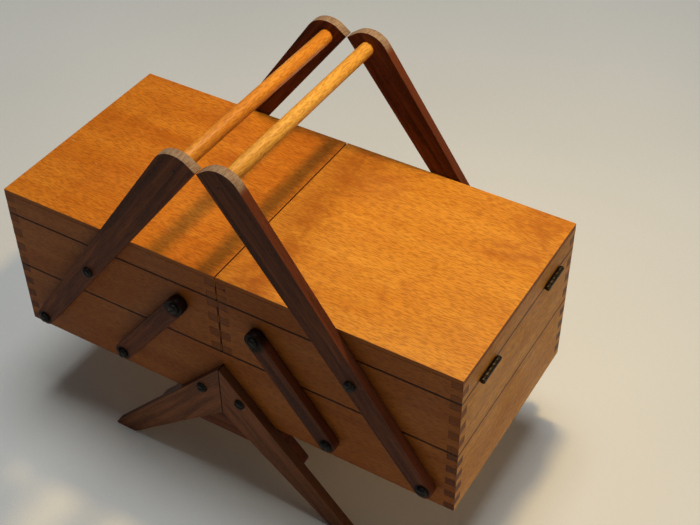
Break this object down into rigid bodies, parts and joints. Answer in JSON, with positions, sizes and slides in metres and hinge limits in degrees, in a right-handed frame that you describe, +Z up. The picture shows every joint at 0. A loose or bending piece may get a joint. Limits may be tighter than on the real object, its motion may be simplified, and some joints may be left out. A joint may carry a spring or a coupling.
{
  "type": "sewing box with swing-out trays",
  "caption": "Wooden sewing box: finger-jointed trays with hinged lids swing apart on tapered lever arms with dowel handles, above a long lower case on splayed legs.",
  "frame": {"origin": "on the floor, under the middle of the box", "axes": "+X to the right along the long side, +Y to the back, +Z up"},
  "size_m": [0.429, 0.2184, 0.3439],
  "materials": {
    "beech_board": "clear lacquer, aged amber",
    "beech_lid": "glossy aged amber lacquer",
    "plywood": "bare, sanded",
    "stained_wood": "dark walnut stain, satin, worn on the edges",
    "dowel_wood": "polished honey lacquer",
    "black_screw": "black, worn",
    "hinge_metal": "dark tarnished"
  },
  "bodies": {
    "base": {"box_pivot_screws": "black_screw", "leg_brace_front": "stained_wood", "leg_brace_rear": "stained_wood", "leg_front_left": "stained_wood", "leg_front_right": "stained_wood", "leg_rear_left": "stained_wood", "leg_rear_right": "stained_wood", "leg_screws": "black_screw", "lower_bottom_panel": "plywood", "lower_front_board": "beech_board", "lower_left_end": "beech_board", "lower_rear_board": "beech_board", "lower_right_end": "beech_board"},
    "right_handle": {"right_arm_front": "stained_wood", "right_arm_rear": "stained_wood", "right_dowel_pins": "black_screw", "right_handle_dowel": "dowel_wood"},
    "right_tray": {"right_hinge_pins": "hinge_metal", "right_hinge_tray_leaves": "hinge_metal", "right_tray_bottom_panel": "plywood", "right_tray_front_board": "beech_board", "right_tray_hinge_screws": "hinge_metal", "right_tray_inner_end": "beech_board", "right_tray_outer_end": "beech_board", "right_tray_pivot_screws": "black_screw", "right_tray_rear_board": "beech_board"},
    "right_lid": {"right_hinge_lid_leaves": "hinge_metal", "right_lid_front_rail": "beech_board", "right_lid_hinge_screws": "hinge_metal", "right_lid_inner_rail": "beech_board", "right_lid_outer_rail": "beech_board", "right_lid_panel": "beech_lid", "right_lid_rear_rail": "beech_board"},
    "right_links": {"right_link_front": "stained_wood", "right_link_rear": "stained_wood"},
    "left_handle": {"left_arm_front": "stained_wood", "left_arm_rear": "stained_wood", "left_dowel_pins": "black_screw", "left_handle_dowel": "dowel_wood"},
    "left_tray": {"left_hinge_pins": "hinge_metal", "left_hinge_tray_leaves": "hinge_metal", "left_tray_bottom_panel": "plywood", "left_tray_front_board": "beech_board", "left_tray_hinge_screws": "hinge_metal", "left_tray_inner_end": "beech_board", "left_tray_outer_end": "beech_board", "left_tray_pivot_screws": "black_screw", "left_tray_rear_board": "beech_board"},
    "left_lid": {"left_hinge_lid_leaves": "hinge_metal", "left_lid_front_rail": "beech_board", "left_lid_hinge_screws": "hinge_metal", "left_lid_inner_rail": "beech_board", "left_lid_outer_rail": "beech_board", "left_lid_panel": "beech_lid", "left_lid_rear_rail": "beech_board"},
    "left_links": {"left_link_front": "stained_wood", "left_link_rear": "stained_wood"}
  },
  "joints": [
    {"name": "right_handle_swing", "type": "hinge", "parent": "base", "child": "right_handle", "pos_m": [0.1864, 0, 0.1035], "axis": [0, 1, 0], "range_deg": [0, 75]},
    {"name": "right_tray_level", "type": "hinge", "parent": "right_handle", "child": "right_tray", "pos_m": [0.12309, 0, 0.18601], "axis": [0, 1, 0], "range_deg": [-75, 0]},
    {"name": "right_links_swing", "type": "hinge", "parent": "base", "child": "right_links", "pos_m": [0.1004, 0, 0.1046], "axis": [0, 1, 0], "range_deg": [0, 75]},
    {"name": "right_lid_hinge", "type": "hinge", "parent": "right_tray", "child": "right_lid", "pos_m": [0.2124, 0, 0.20645], "axis": [0, 1, 0], "range_deg": [0, 86]},
    {"name": "left_handle_swing", "type": "hinge", "parent": "base", "child": "left_handle", "pos_m": [-0.1864, 0, 0.1035], "axis": [0, -1, 0], "range_deg": [0, 75]},
    {"name": "left_tray_level", "type": "hinge", "parent": "left_handle", "child": "left_tray", "pos_m": [-0.12309, 0, 0.18601], "axis": [0, -1, 0], "range_deg": [-75, 0]},
    {"name": "left_links_swing", "type": "hinge", "parent": "base", "child": "left_links", "pos_m": [-0.1004, 0, 0.1046], "axis": [0, -1, 0], "range_deg": [0, 75]},
    {"name": "left_lid_hinge", "type": "hinge", "parent": "left_tray", "child": "left_lid", "pos_m": [-0.2124, 0, 0.20645], "axis": [0, -1, 0], "range_deg": [0, 86]}
  ],
  "couplings": [
    {"joint": "right_tray_level", "follows": "right_handle_swing", "ratio": -1},
    {"joint": "right_links_swing", "follows": "right_handle_swing", "ratio": 1},
    {"joint": "left_tray_level", "follows": "left_handle_swing", "ratio": -1},
    {"joint": "left_links_swing", "follows": "left_handle_swing", "ratio": 1}
  ]
}
